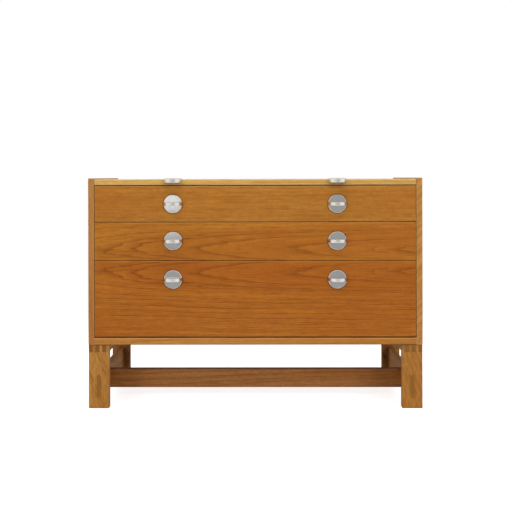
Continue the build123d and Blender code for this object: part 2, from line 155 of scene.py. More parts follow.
# Painted shade: the two edge-darkening amounts below darken a board along its lower and upper edges, where the
# gaps and the case above are dark
usualWood = {
    "end": srgb(200, 195, 188),  # times the colour, on end grain
    "lowShade": 0.04,
    "topShade": 0.0,
    "gloss": 0.2,
}
# Each look's edge-paling amount is worn wood together with a painted highlight on the upper edges
woods = {
    "front": {  # flat-cut veneer, orange brown
        **usualWood, "light": srgb(190, 120, 46), "dark": srgb(128, 68, 20), "warm": srgb(179, 103, 34),
        "ringGap": 0.0050, "taper": 0.050, "warp": 0.012, "ripple": 1.3, "rings": 0.68, "bands": 0.26,
        "mottle": 0.30, "streaks": 0.36, "fibres": 0.42, "pores": 0.60, "poreLength": 0.013, "rays": 0.12,
        "rough": 0.50, "wearAndHighlight": 0.80,
    },
    "fine": {  # the paler, straighter veneer of the top drawer
        **usualWood, "light": srgb(198, 140, 60), "dark": srgb(146, 88, 28), "warm": srgb(188, 121, 46),
        "ringGap": 0.0036, "taper": 0.012, "warp": 0.006, "ripple": 1.6, "rings": 0.30, "bands": 0.22,
        "mottle": 0.55, "streaks": 0.35, "fibres": 0.45, "pores": 0.65, "poreLength": 0.009, "rays": 0.40,
        "rough": 0.50, "wearAndHighlight": 0.80, "lowShade": 0.16,
    },
    "golden": {  # solid edges, lid and case
        **usualWood, "light": srgb(212, 166, 92), "dark": srgb(162, 110, 46), "warm": srgb(200, 146, 68),
        "ringGap": 0.0046, "taper": 0.014, "warp": 0.008, "ripple": 1.2, "rings": 0.45, "bands": 0.40,
        "mottle": 0.30, "streaks": 0.40, "fibres": 0.30, "pores": 0.50, "poreLength": 0.014, "rays": 0.20,
        "rough": 0.50, "wearAndHighlight": 1.00, "lowShade": 0.08,
    },
    "base": {  # solid oak of the legs and rails
        **usualWood, "light": srgb(198, 146, 76), "dark": srgb(136, 84, 34), "warm": srgb(180, 118, 50),
        "ringGap": 0.0046, "taper": 0.045, "warp": 0.016, "ripple": 1.4, "rings": 0.60, "bands": 0.40,
        "mottle": 0.40, "streaks": 0.35, "fibres": 0.40, "pores": 0.60, "poreLength": 0.010, "rays": 0.45,
        # painted shade: the top edges are darkened strongly under the case, and the lower edges too
        "rough": 0.60, "wearAndHighlight": 0.30, "gloss": 0.15, "topShade": 0.8, "lowShade": 0.3,
    },
    "beech": {  # drawer boxes and runners
        **usualWood, "light": srgb(216, 180, 134), "dark": srgb(190, 146, 98), "warm": srgb(206, 160, 110),
        "ringGap": 0.0050, "taper": 0.010, "warp": 0.006, "ripple": 1.0, "rings": 0.25, "bands": 0.30,
        "mottle": 0.20, "streaks": 0.35, "fibres": 0.25, "pores": 0.35, "poreLength": 0.003, "rays": 0.45,
        "end": srgb(214, 206, 196), "rough": 0.55, "wearAndHighlight": 0.15,
    },
}
woods["curly"] = {**woods["golden"], "ringGap": 0.0100, "warp": 0.012, "rings": 1.60, "streaks": 0.25}
woods["leg"] = {**woods["base"], "taper": 0.42, "mottle": 0.65, "streaks": 0.25, "bands": 0.30}
# painted shade: these set how dark their edges are painted, for the shade under the case and in the gaps
woods["sideRail"] = {**woods["base"], "topShade": 0.15}
woods["stretcher"] = {**woods["base"], "topShade": 0.50}
woods["caseBottom"] = {**woods["golden"], "lowShade": 0.85}
woods["lid"] = {**woods["golden"], "lowShade": 0.18}

grainLayers = {  # stretch per metre along the grain and twice across it, then detail and roughness
    "bend": ((1.6, 5.0, 5.0), 2.0, 0.5),
    "ripple": ((9.0, 90.0, 90.0), 3.0, 0.5),
    "streaks": ((13.0, 230.0, 230.0), 4.0, 0.6),
    "fibres": ((16.0, 640.0, 640.0), 3.0, 0.6),
    "broad": ((1.3, 8.0, 8.0), 3.0, 0.5),
    "mottle": ((42.0, 130.0, 130.0), 4.0, 0.75),
    "rayPatches": ((7.0, 26.0, 26.0), 2.0, 0.5),
}
layerSpans = {  # the part of each layer's range that is spread over 0 to 1
    "streaks": (0.28, 0.72),
    "fibres": (0.3, 0.7),
    "broad": (0.32, 0.68),
    "mottle": (0.3, 0.7),
    "rayPatches": (0.45, 0.65),
    "years": (0.3, 0.7),
}
grainPlan = {
    "seedShift": 3.7,  # metres along the grain between two boards of one look
    "earlyCurve": 2.5,  # how fast the early wood of a ring ends
    "yearScale": 0.31,
    "yearDetail": 3.0,
    "goodEvery": 2.7,  # rings between two strong ones
    "goodShift": 2.32,
    "goodWeight": 0.16,
    "strongSpan": (0.36, 0.66),
    "strongGain": (0.2, 1.2),
    "poreAcross": 1150.0,
    "poreSpan": (0.16, 0.42),
    "poresInEarly": 0.75,
    "poreColour": (0.55, 0.55, 0.55),  # times the dark colour
    "rayStretch": (55.0, 340.0, 340.0),
    "raySpan": (0.12, 0.40),
    "shadeDepth": 0.64,
    "endSpan": (0.72, 0.94),
    "endShade": 0.70,  # the shade that end grain is drawn towards
    "endCalm": 0.6,
    "poreDull": 0.25,
    "fibreDull": 0.12,
    "fibreHeight": 0.25,
    "streakHeight": 0.15,
}
turnedOrder = {"X": (0, 1, 2), "Y": (1, 2, 0), "Z": (2, 0, 1)}  # the board's axes, the grain's first


def layer(tree, laid, name, output=0):
    return noise(tree, laid, *grainLayers[name]).outputs[output]


def spread(tree, value, name):
    return step(tree, value, *layerSpans[name])


def spots(tree, laid, stretch, span):
    # 1 at the middle of each cell, and 0 beyond the span
    scaled = vectorCalc(tree, "MULTIPLY", laid, stretch)
    cells = addNode(tree, "TexVoronoi", {"Vector": scaled, "Scale": 1.0})
    return step(tree, cells.outputs["Distance"], *span, 1.0, 0.0)


def waves(tree, value, detail):
    # A smooth random value for each place along a line
    places = {"W": value, "Detail": detail, "Scale": 1.0}
    return addNode(tree, "TexNoise", places, noise_dimensions="1D").outputs[0]


def laidAlong(tree, where, grain, heart, seed, flipped):
    # The place on a board, turned so that its log lies along X with the heart at zero
    order = turnedOrder[grain]
    start = [-value for value in heart]
    start[order[0]] -= grainPlan["seedShift"] * seed
    scale = [1.0, 1.0, 1.0]
    if flipped:  # the next leaf of veneer, turned over like a page
        start[2] = heart[2]
        scale[2] = -1.0
    places = {"Vector": where["Object"], "Location": start, "Scale": scale}
    parts = addNode(tree, "SeparateXYZ", {0: addNode(tree, "Mapping", places).outputs[0]}).outputs
    return addNode(tree, "CombineXYZ", {axis: parts[order[axis]] for axis in range(3)}).outputs[0]


def ringNumber(tree, laid, look, seed, slope):
    # Rings from the heart outwards, in a log that tapers, and bends and swells a little along its length
    bend = vectorCalc(tree, "SUBTRACT", layer(tree, laid, "bend", "Color"), (0.5, 0.5, 0.5))
    bend = vectorCalc(tree, "MULTIPLY", bend, (0.0, 2 * look["warp"], 2 * look["warp"]))
    bent = addNode(tree, "SeparateXYZ", {0: vectorCalc(tree, "ADD", laid, bend)}).outputs
    along = calc(tree, "ADD", bent[0], grainPlan["seedShift"] * seed)
    tapered = calc(tree, "ADD", bent[1], calc(tree, "MULTIPLY", along, look["taper"] + slope))
    across = addNode(tree, "CombineXYZ", {1: tapered, 2: bent[2]}).outputs[0]
    distance = calc(tree, "DIVIDE", vectorCalc(tree, "LENGTH", across), look["ringGap"])
    return calc(tree, "ADD", distance, calc(tree, "MULTIPLY", layer(tree, laid, "ripple"), look["ripple"]))


def growth(tree, where, look, grain, heart, seed, tint, slope=0.0, flipped=False):
    # Colour, shine and height of a board whose log has its heart through the given point
    plan = grainPlan
    laid = laidAlong(tree, where, grain, heart, seed, flipped)
    rings = ringNumber(tree, laid, look, seed, slope)

    # early wood starts each ring dark and porous, and late wood closes it
    early = calc(tree, "SUBTRACT", 1.0, calc(tree, "FRACT", rings))
    early = calc(tree, "POWER", early, plan["earlyCurve"])
    years = waves(tree, calc(tree, "MULTIPLY", rings, plan["yearScale"]), plan["yearDetail"])
    streaks, fibres = layer(tree, laid, "streaks"), layer(tree, laid, "fibres")
    poreStretch = (1 / look["poreLength"], plan["poreAcross"], plan["poreAcross"])
    pores = spots(tree, laid, poreStretch, plan["poreSpan"])
    inEarly = plan["poresInEarly"]
    pores = calc(tree, "MULTIPLY", pores, total(tree, (early, inEarly), (1.0, 1.0 - inEarly)))
    rays = spots(tree, laid, plan["rayStretch"], plan["raySpan"])
    rays = calc(tree, "MULTIPLY", rays, spread(tree, layer(tree, laid, "rayPatches"), "rayPatches"))

    # some years grow strongly, by chance and in a slow cycle
    cycle = calc(tree, "ADD", rings, plan["goodShift"])
    cycle = calc(tree, "SINE", calc(tree, "MULTIPLY", cycle, 2 * math.pi / plan["goodEvery"]))
    strong = total(tree, (years, 1.0), (cycle, plan["goodWeight"]))
    early = calc(tree, "MULTIPLY", early, step(tree, strong, *plan["strongSpan"], *plan["strongGain"]))

    shade = total(
        tree,
        (early, look["rings"]),
        (spread(tree, years, "years"), look["bands"]),
        (spread(tree, streaks, "streaks"), look["streaks"]),
        (spread(tree, fibres, "fibres"), look["fibres"]),
        (spread(tree, layer(tree, laid, "mottle"), "mottle"), look["mottle"]),
    )
    shade = calc(tree, "SUBTRACT", shade, calc(tree, "MULTIPLY", rays, look["rays"]))
    facing = addNode(tree, "SeparateXYZ", {0: where["Normal"]}).outputs[turnedOrder[grain][0]]
    endFace = step(tree, calc(tree, "ABSOLUTE", facing), *plan["endSpan"])
    calmed = calc(tree, "SUBTRACT", plan["endShade"], shade)
    calmed = calc(tree, "MULTIPLY", calmed, calc(tree, "MULTIPLY", endFace, plan["endCalm"]))
    shade = calc(tree, "ADD", shade, calmed)

    light, dark, warm = [tinted(look[key], tint) for key in ("light", "dark", "warm")]
    ground = mixed(tree, spread(tree, layer(tree, laid, "broad"), "broad"), light, warm)
    colour = mixed(tree, calc(tree, "MULTIPLY", shade, plan["shadeDepth"], clamp=True), ground, dark)
    poreColour = tinted(dark, plan["poreColour"])
    colour = mixed(tree, calc(tree, "MULTIPLY", pores, look["pores"]), colour, poreColour)
    oiled = mixed(tree, 1.0, colour, look["end"], "MULTIPLY")  # end grain drinks more oil
    dull = total(tree, (pores, plan["poreDull"]), (fibres, plan["fibreDull"]))
    raised = total(tree, (fibres, plan["fibreHeight"]), (streaks, plan["streakHeight"]))
    return {
        "colour": mixed(tree, endFace, colour, oiled),
        "shine": calc(tree, "ADD", dull, look["rough"] - plan["fibreDull"] / 2),
        "height": calc(tree, "SUBTRACT", raised, pores),
    }


# Worn edges with a painted highlight on top, and painted shade along edges and about each pull
wearAndPaintedLight = {
    "edgeBand": (0.00102, 0.0034),  # how far in from an edge the wood is worn paler and painted with a highlight, fully and at all
    "upperHighlightBand": 0.004,  # painted highlight: the upper edges are paler most, as light from above catches them, with some wear
    "upperHighlightGain": (0.25, 1.3),
    "patches": ((14.0, 14.0, 14.0), 3.0),
    "patchSpan": (0.3, 0.6),
    "patchGain": (0.5, 1.0),
    "pale": (0.96, 1.06, 2.10),  # worn wood and a painted highlight, times the light colour
    "lowShadeBand": (0.0004, 0.0030),  # painted shade above the lower edge
    "topShadeBand": (0.0034, 0.0008),  # painted shade below the upper edge
    # the colour of the painted shade along the edges
    "shadeColour": srgb(84, 36, 14),
    # painted contact shadow: a dark ring on the wood about each pull
    "shadeRingReach": 0.0042,
    "shadeRingDepth": 0.75,
    "shadeRingColour": srgb(78, 54, 24),
    "seam": 0.0001,
    "relief": 0.35,
    "reliefDepth": 0.0003,
}


def edgeCloseness(tree, place, box):
    # 1 at any edge of the board's box, and 0 beyond the rubbed band
    low, high = box
    centre, half = (low + high) / 2, (high - low) / 2
    offset = vectorCalc(tree, "ABSOLUTE", vectorCalc(tree, "SUBTRACT", place, tuple(centre)))
    inward = addNode(tree, "SeparateXYZ", {0: vectorCalc(tree, "SUBTRACT", tuple(half), offset)}).outputs
    near = [step(tree, inward[axis], *wearAndPaintedLight["edgeBand"], 1.0, 0.0) for axis in range(3)]
    pairs = [calc(tree, "MULTIPLY", near[axis], near[axis - 1]) for axis in range(3)]
    return calc(tree, "MAXIMUM", pairs[0], calc(tree, "MAXIMUM", pairs[1], pairs[2]))


def pullCloseness(tree, place, centres):
    # 1 at the rim of each pull, and 0 beyond the painted shadow ring's reach
    nearest = None
    for centre in centres:
        offset = vectorCalc(tree, "SUBTRACT", place, (centre.x, 0.0, centre.z))
        distance = vectorCalc(tree, "LENGTH", vectorCalc(tree, "MULTIPLY", offset, (1.0, 0.0, 1.0)))
        nearest = distance if nearest is None else calc(tree, "MINIMUM", nearest, distance)
    return step(tree, nearest, pullRadius, pullRadius + wearAndPaintedLight["shadeRingReach"], 1.0, 0.0)


def rubbedAndLit(tree, place, rise, colour, look, box, tint):
    # Edges are worn paler in patches, and the upper ones get a painted highlight most
    plan = wearAndPaintedLight
    close = calc(tree, "MULTIPLY", edgeCloseness(tree, place, box), look["wearAndHighlight"])
    upper = step(tree, rise, box[1].z - plan["upperHighlightBand"], box[1].z, *plan["upperHighlightGain"])
    patchy = noise(tree, place, *plan["patches"]).outputs[0]
    patchy = step(tree, patchy, *plan["patchSpan"], *plan["patchGain"])
    # painted highlight: the pale colour is bluer, like light from above on a rounded edge, besides worn wood
    pale = tinted(look["light"], [level * gain for level, gain in zip(tint, plan["pale"])])
    strength = calc(tree, "MULTIPLY", close, calc(tree, "MULTIPLY", patchy, upper), clamp=True)
    return mixed(tree, strength, colour, pale)


def paintedEdgeShade(tree, place, rise, colour, look, box, pulls):
    # Painted shade darkens the lower and upper edges, and a painted contact shadow rings each pull
    plan = wearAndPaintedLight
    # painted shade along the lower and upper edges
    below = step(tree, rise, *[box[0].z + band for band in plan["lowShadeBand"]], look["lowShade"], 0.0)
    above = step(tree, rise, *[box[1].z - band for band in plan["topShadeBand"]], 0.0, look["topShade"])
    if pulls:
        # painted contact shadow about each pull
        ring = calc(tree, "MULTIPLY", pullCloseness(tree, place, pulls), plan["shadeRingDepth"])
        colour = mixed(tree, ring, colour, plan["shadeRingColour"])
    return mixed(tree, calc(tree, "MAXIMUM", below, above), colour, plan["shadeColour"])


def woodMaterial(name, lookName, grain, heart, box, seed, tint, flipped=False, lipping=None, pulls=None):
    look = woods[lookName]
    material, tree, shader = newMaterial(name)
    where = addNode(tree, "TexCoord").outputs
    place = where["Object"]
    wood = growth(tree, where, look, grain, heart, seed, tint, flipped=flipped)
    if lipping:  # a solid strip is glued along the front edge
        strip = growth(tree, where, woods[lipping["look"]], grain, lipping["heart"], lipping["seed"],
                       lipping["tint"], slope=lipping["slope"])
        depth = addNode(tree, "SeparateXYZ", {0: place}).outputs[1]
        seam, soft = frontY + lipping["width"], wearAndPaintedLight["seam"]
        inStrip = step(tree, depth, seam - soft, seam + soft, 1.0, 0.0)
        wood["colour"] = mixed(tree, inStrip, wood["colour"], strip["colour"])
    rise = addNode(tree, "SeparateXYZ", {0: place}).outputs[2]
    colour = rubbedAndLit(tree, place, rise, wood["colour"], look, box, tint)
    feed(tree, shader.inputs["Base Color"], paintedEdgeShade(tree, place, rise, colour, look, box, pulls))
    feed(tree, shader.inputs["Roughness"], wood["shine"])
    shader.inputs["Specular IOR Level"].default_value = look["gloss"]
    relief(tree, shader, wood["height"], wearAndPaintedLight["relief"], wearAndPaintedLight["reliefDepth"])
    return material


plyPlan = {
    "light": srgb(206, 164, 112),
    "dark": srgb(180, 134, 82),
    "glue": srgb(120, 84, 50),
    "plies": 5,
    "gluedDepth": 0.75,
    "shift": (2.3, 1.7, 0.9),  # metres from one sheet's figure to the next
    "figureAcross": 9.0,
    "figureAlong": 0.9,
    "figureDetail": (3.0, 0.55),
    "figureWaves": 26.0,
    "waveDetail": 2.0,
    "figureSpan": (0.3, 0.7, 0.1, 0.8),
    "fibreAcross": 700.0,
    "fibreAlong": 14.0,
    "fibreDepth": 0.35,
    "roughSpan": (0.2, 0.8, 0.5, 0.62),
    "gloss": 0.25,
    "relief": (0.2, 0.0002),
}


def stretched(grain, along, across):
    # Noise scales for a figure that runs along the named axis
    return tuple(along if axis == grain else across for axis in "XYZ")


def plywoodMaterial(name, thicknessAxis, grain, box, seed):
    plan = plyPlan
    material, tree, shader = newMaterial(name)
    where = addNode(tree, "TexCoord").outputs["Object"]
    places = {"Vector": where, "Location": [seed * shift for shift in plan["shift"]]}
    moved = addNode(tree, "Mapping", places).outputs[0]
    stretch = stretched(grain, plan["figureAlong"], plan["figureAcross"])
    wander = noise(tree, moved, stretch, *plan["figureDetail"]).outputs[0]
    figure = waves(tree, calc(tree, "MULTIPLY", wander, plan["figureWaves"]), plan["waveDetail"])
    fibres = noise(tree, moved, stretched(grain, plan["fibreAlong"], plan["fibreAcross"])).outputs[0]
    face = mixed(tree, step(tree, figure, *plan["figureSpan"]), plan["light"], plan["dark"])
    face = mixed(tree, calc(tree, "MULTIPLY", fibres, plan["fibreDepth"]), face, plan["dark"])

    # every second ply shows its darker end grain at the edges
    axis = "XYZ".index(thicknessAxis)
    through = {
        "Value": addNode(tree, "SeparateXYZ", {0: where}).outputs[axis],
        "From Min": box[0][axis],
        "From Max": box[1][axis],
        "To Max": plan["plies"] - 0.001,  # so that the last ply has its own whole number
    }
    ply = addNode(tree, "MapRange", through).outputs[0]
    cross = calc(tree, "MODULO", calc(tree, "FLOOR", ply), 2.0)
    colour = mixed(tree, calc(tree, "MULTIPLY", cross, plan["gluedDepth"]), face, plan["glue"])
    feed(tree, shader.inputs["Base Color"], colour)
    feed(tree, shader.inputs["Roughness"], step(tree, fibres, *plan["roughSpan"]))
    shader.inputs["Specular IOR Level"].default_value = plan["gloss"]
    relief(tree, shader, fibres, *plan["relief"])
    return material


metalPlan = {
    "satinFace": {
        "colour": srgb(206, 206, 204), "tarnish": srgb(192, 191, 187), "rough": 0.10,
        "brushed": (260.0, 700.0, 2400.0), "relief": 0.08, "spots": 0.2,
    },
    "polishedRim": {
        "colour": srgb(232, 229, 222), "tarnish": srgb(206, 202, 194), "rough": 0.30,
        "brushed": (300.0, 300.0, 2600.0), "relief": 0.12, "spots": 0.25,
    },
    "hingeBrass": {
        "colour": srgb(206, 166, 92), "tarnish": srgb(140, 104, 52), "rough": 0.30,
        "brushed": (140.0, 900.0, 900.0), "relief": 0.25, "spots": 0.35,
    },
    "screwSteel": {
        "colour": srgb(176, 174, 168), "tarnish": srgb(120, 112, 100), "rough": 0.34,
        "brushed": (900.0, 900.0, 900.0), "relief": 0.25, "spots": 0.35,
    },
}
metalSurface = {
    "brushDetail": (3.0, 0.65),
    "cloud": ((90.0, 90.0, 90.0), 4.0, 0.6),
    "specks": ((420.0, 420.0, 420.0), 2.0, 0.6),
    "brushTarnish": (0.35, 0.75),
    "cloudTarnish": (0.45, 0.75),
    "brushRough": (0.3, 0.7, -0.2, 0.2),
    "cloudRough": (0.4, 0.7, -0.1, 0.25),
    "speckHeight": 0.5,
    "reliefDepth": 0.00002,
}


def metalMaterial(name):
    look, plan = metalPlan[name], metalSurface
    material, tree, shader = newMaterial(name)
    where = addNode(tree, "TexCoord").outputs["Object"]
    brush = noise(tree, where, look["brushed"], *plan["brushDetail"]).outputs[0]
    cloud = noise(tree, where, *plan["cloud"]).outputs[0]
    specks = noise(tree, where, *plan["specks"]).outputs[0]
    clouded = step(tree, cloud, *plan["cloudTarnish"], 0.0, look["spots"])
    streaked = step(tree, brush, *plan["brushTarnish"], 0.0, look["spots"])
    shade = calc(tree, "ADD", clouded, streaked)
    feed(tree, shader.inputs["Base Color"], mixed(tree, shade, look["colour"], look["tarnish"]))
    shader.inputs["Metallic"].default_value = 1.0
    uneven = calc(tree, "ADD", step(tree, brush, *plan["brushRough"]), step(tree, cloud, *plan["cloudRough"]))
    rough = calc(tree, "MULTIPLY", calc(tree, "ADD", uneven, 1.0), look["rough"])
    feed(tree, shader.inputs["Roughness"], rough)
    height = total(tree, (brush, 1.0), (specks, plan["speckHeight"]))
    relief(tree, shader, height, look["relief"], plan["reliefDepth"])
    return material


feltPlan = {
    "dark": srgb(58, 40, 26),
    "light": srgb(104, 78, 54),
    "clumps": ((600.0, 600.0, 600.0), 4.0, 0.7),
    "hairs": ((2600.0, 900.0, 2600.0), 3.0, 0.7),
    "clumpShare": 0.6,
    "rough": 0.95,
    "sheen": 0.4,
    "relief": (0.8, 0.0005),
}


def feltMaterial():
    plan = feltPlan
    material, tree, shader = newMaterial("brownFelt")
    where = addNode(tree, "TexCoord").outputs["Object"]
    clumps = noise(tree, where, *plan["clumps"]).outputs[0]
    hairs = noise(tree, where, *plan["hairs"]).outputs[0]
    tone = total(tree, (clumps, plan["clumpShare"]), (hairs, 1.0 - plan["clumpShare"]))
    feed(tree, shader.inputs["Base Color"], mixed(tree, tone, plan["dark"], plan["light"]))
    shader.inputs["Roughness"].default_value = plan["rough"]
    shader.inputs["Sheen Weight"].default_value = plan["sheen"]
    relief(tree, shader, tone, *plan["relief"])
    return material


def dress(node, material):
    mesh = nodes[node].data
    mesh.materials.clear()
    mesh.materials.append(material)


# Which way each board was cut: its look, grain, heart, seed and tint, and True where the leaf is turned over.
# The heart is a point on the middle line of its log.
plain = (1.0, 1.0, 1.0)
sideTint = (0.90, 0.84, 0.80)
flameRise = 0.036  # from the gap between the two lower drawers to the middle of each figure
flameDepth = -0.1615
drawerGap = (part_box("drawer_2_front")[0].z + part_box("drawer_3_front")[1].z) / 2
upperHeart = (0.0, flameDepth, drawerGap + flameRise)
lowerHeart = (0.0, flameDepth, drawerGap - flameRise)
boardPlan = {
    "drawer_1_front": ("fine", "X", (0.0, -0.130, 0.395), 0.0, (0.96, 0.93, 0.80)),
    "drawer_2_front": ("front", "X", upperHeart, 0.0, (1.06, 1.14, 0.84)),
    "drawer_3_front": ("front", "X", lowerHeart, 0.0, (1.005, 0.95, 0.56), True),
    "lid_panel": ("lid", "X", (0.0, -0.10, 0.62), 1.3, (1.16, 1.36, 1.56)),
    "bottom_panel": ("caseBottom", "X", (0.0, 0.02, 0.09), 2.1, (0.86, 0.71, 0.49)),
    "rear_rail": ("golden", "X", (0.0, 0.30, 0.62), 3.4, plain),
    "side_panel_left": ("golden", "Z", (-0.44, 0.05, 0.0), 4.2, sideTint),
    "side_panel_right": ("golden", "Z", (0.45, -0.03, 0.0), 5.1, sideTint),
    # painted shade: the stretcher is darker, as it stands in the shade under the case
    "stretcher": ("stretcher", "X", (0.0, -0.02, -0.02), 6.3, (0.90, 0.82, 0.96)),
    "compartment_front": ("beech", "X", (0.0, -0.10, 0.58), 7.7, (1.20, 0.72, 0.40)),
}
lippings = {
    "side_panel_left": {
        "look": "golden", "width": 0.008, "heart": (-0.47, -0.24, 0.0), "seed": 4.7,
        "slope": 0.05, "tint": (0.75, 0.62, 0.59),
    },
    "side_panel_right": {
        "look": "curly", "width": 0.008, "heart": (0.47, -0.26, 0.0), "seed": 5.6,
        "slope": -1.10, "tint": (0.91, 0.82, 0.80),
    },
}
# painted light: the side rails are lighter, to stand in for light that reaches them under the case
railLitTint = (1.25, 1.25, 1.10)
legPlan = {
    "front": {"aside": 0.45, "depth": -0.15, "tint": (1.08, 1.12, 1.08)},
    # painted shade: the rear legs are darker and bluer, as they stand in the shade under the case
    "rear": {"aside": 0.47, "depth": 0.05, "tint": (0.88, 0.94, 1.35)},
}
for number, side in enumerate(sideNames):
    way = 2 * number - 1
    boardPlan["base_top_rail_" + side] = ("base", "Y", (way * 0.455, 0.0, 0.13), 8.1 + number, plain)
    boardPlan["base_side_rail_" + side] = ("sideRail", "Y", (way * 0.44, 0.0, 0.02), 9.3 + number, railLitTint)
    for count, (end, leg) in enumerate(legPlan.items()):
        heart = (way * leg["aside"], leg["depth"], 0.0)
        boardPlan[f"leg_{end}_{side}"] = ("leg", "Z", heart, 10.2 + number + 2 * count, leg["tint"])
for count, name in enumerate(drawerNames):
    boardPlan[name + "_back"] = ("beech", "X", (0.0, 0.30, 0.40 + 0.02 * count), 14.5 + count, plain)
    for number, side in enumerate(sideNames):
        way = 2 * number - 1
        seed = 18.2 + 2 * count + number
        boardPlan[f"{name}_side_{side}"] = ("beech", "Y", (way * 0.56, 0.0, 0.45), seed, plain)
        boardPlan[f"{name}_runner_{side}"] = ("beech", "Y", (way * 0.46, 0.0, 0.50), seed + 7, plain)
for node, (lookName, grain, heart, seed, tint, *flipped) in boardPlan.items():
    material = woodMaterial(node, lookName, grain, heart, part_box(node), seed, tint, bool(flipped),
                            lippings.get(node), pullMiddles.get(node))
    dress(node, material)

sheets = {  # which axis the sheet is thin along, its grain, and its seed
    "back_panel": ("Y", "X", 1.0),
    "compartment_floor": ("Z", "X", 2.0),
    "drawer_1_bottom": ("Z", "X", 3.0),
    "drawer_2_bottom": ("Z", "X", 4.0),
    "drawer_3_bottom": ("Z", "X", 5.0),
}
for node, (thicknessAxis, grain, seed) in sheets.items():
    dress(node, plywoodMaterial(node, thicknessAxis, grain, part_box(node), seed))
dress("felt_pads", feltMaterial())
print("woods, plywood and felt made for", len(boardPlan) + len(sheets) + 1, "nodes")

metals = {name: metalMaterial(name) for name in metalPlan}
for node in ("hinge_rail_leaves", "hinge_lid_leaves", "hinge_pins"):
    dress(node, metals["hingeBrass"])
print("metals made:", len(metals))


# New pieces

mergeReach = 1e-6  # two points closer than this are one
chordReach = 1e-5  # an end on a circle's chord may lie this far inside the circle
sharpAngle = 32.0  # degrees


def finished(name, form, materials):
    # Makes an object of the bmesh, shaded smooth between its sharp edges
    mesh = bpy.data.meshes.new(name)
    form.to_mesh(mesh)
    form.free()
    mesh.shade_smooth()
    mesh.set_sharp_from_angle(angle=math.radians(sharpAngle))
    for material in materials:
        mesh.materials.append(material)
    piece = bpy.data.objects.new(name, mesh)
    scene.collection.objects.link(piece)
    weighted = piece.modifiers.new("flatFacesFirst", "WEIGHTED_NORMAL")
    weighted.keep_sharp = True
    weighted.weight = 100
    return piece


def joined(form, part, place, materialOf=lambda face: 0):
    # Closes a part, gives its faces their materials, and adds it to the form at its place
    bmesh.ops.remove_doubles(part, verts=part.verts, dist=mergeReach)
    bmesh.ops.recalc_face_normals(part, faces=part.faces)
    for face in part.faces:
        face.material_index = materialOf(face)
    bmesh.ops.transform(part, matrix=place, verts=part.verts)
    scrap = bpy.data.meshes.new("scrap")
    part.to_mesh(scrap)
    part.free()
    form.from_mesh(scrap)
    bpy.data.meshes.remove(scrap)


def turned(outline, steps):
    # Turns an outline of (radius, height) points about Z
    part = bmesh.new()
    verts = [part.verts.new((radius, 0, height)) for radius, height in outline]
    edges = [part.edges.new(pair) for pair in zip(verts, verts[1:])]
    bmesh.ops.spin(part, geom=verts + edges, cent=(0, 0, 0), axis=(0, 0, 1), angle=2 * math.pi, steps=steps,
                   use_merge=True)
    return part


def arc(centre, radius, fromAngle, toAngle, steps):
    turn = math.radians(toAngle - fromAngle) / steps
    angles = [math.radians(fromAngle) + turn * index for index in range(steps + 1)]
    return [(centre[0] + radius * math.cos(angle), centre[1] + radius * math.sin(angle)) for angle in angles]


def extruded(part, faces, vector, scale=1.0):
    # Pushes faces on, with walls behind them. Faces that have neighbours also stay where they were
    grown = bmesh.ops.extrude_face_region(part, geom=faces)["geom"]
    verts = [item for item in grown if isinstance(item, bmesh.types.BMVert)]
    bmesh.ops.scale(part, verts=verts, vec=(scale, scale, 1.0))
    bmesh.ops.translate(part, verts=verts, vec=vector)
    return [item for item in grown if isinstance(item, bmesh.types.BMFace)]


def facesAt(part, height):
    return [face for face in part.faces if all(abs(vert.co.z - height) < mergeReach for vert in face.verts)]


def bevelled(part, edges, width, segments):
    bmesh.ops.bevel(part, geom=edges, offset=width, offset_type="OFFSET", affect="EDGES", segments=segments,
                    profile=0.5, material=-1, clamp_overlap=True)


pullLook = {
    "plate": 0.0030,
    "chamfer": 0.0013,
    "height": 0.0106,
    "wall": 0.0025,
    "softEdge": 0.0010,
    "fineEdge": 0.0003,
    "ease": 0.25,  # of a plate's chamfer, along its face, at each end
    "easeDrop": 0.3,  # of the ease
    "bossRadius": 0.0040,
    "boreRadius": 0.00205,
    "bossReach": 0.0120,
    "bossApart": 0.0140,
    "lidPlate": 0.0025,
    "steps": 128,
    "bossSteps": 32,
    "softSteps": 4,
    "fineSteps": 2,
    "rimSoftSteps": 5,
    "rimFineSteps": 3,
}


def roundPlate(radius, thickness, corner):
    # A disc on z = 0 whose front edge is a chamfer with eased corners
    ease = corner * pullLook["ease"]
    drop = ease * pullLook["easeDrop"]
    outline = [
        (0, 0),
        (radius, 0),
        (radius, thickness - corner - ease),
        (radius - drop, thickness - corner),
        (radius - corner, thickness - drop),
        (radius - corner - ease, thickness),
        (0, thickness),
    ]
    return turned(outline, pullLook["steps"])


def boss():
    # A boss from z = 0 towards -Z, bored from its far end for the screw
    look = pullLook
    outline = [
        (0, 0),
        (look["bossRadius"], 0),
        (look["bossRadius"], -look["bossReach"] + look["fineEdge"]),
        (look["bossRadius"] - look["fineEdge"], -look["bossReach"]),
        (look["boreRadius"], -look["bossReach"]),
        (look["boreRadius"], -look["wall"]),
        (0, -look["wall"]),
    ]
    return turned(outline, look["bossSteps"])


def onCylinder(edge, radius):
    # Is the edge a level one at this distance from the Z axis?
    first, second = [vert.co for vert in edge.verts]
    near = all(abs(math.hypot(point.x, point.y) - radius) < chordReach for point in (first, second))
    return near and abs(first.z - second.z) < mergeReach


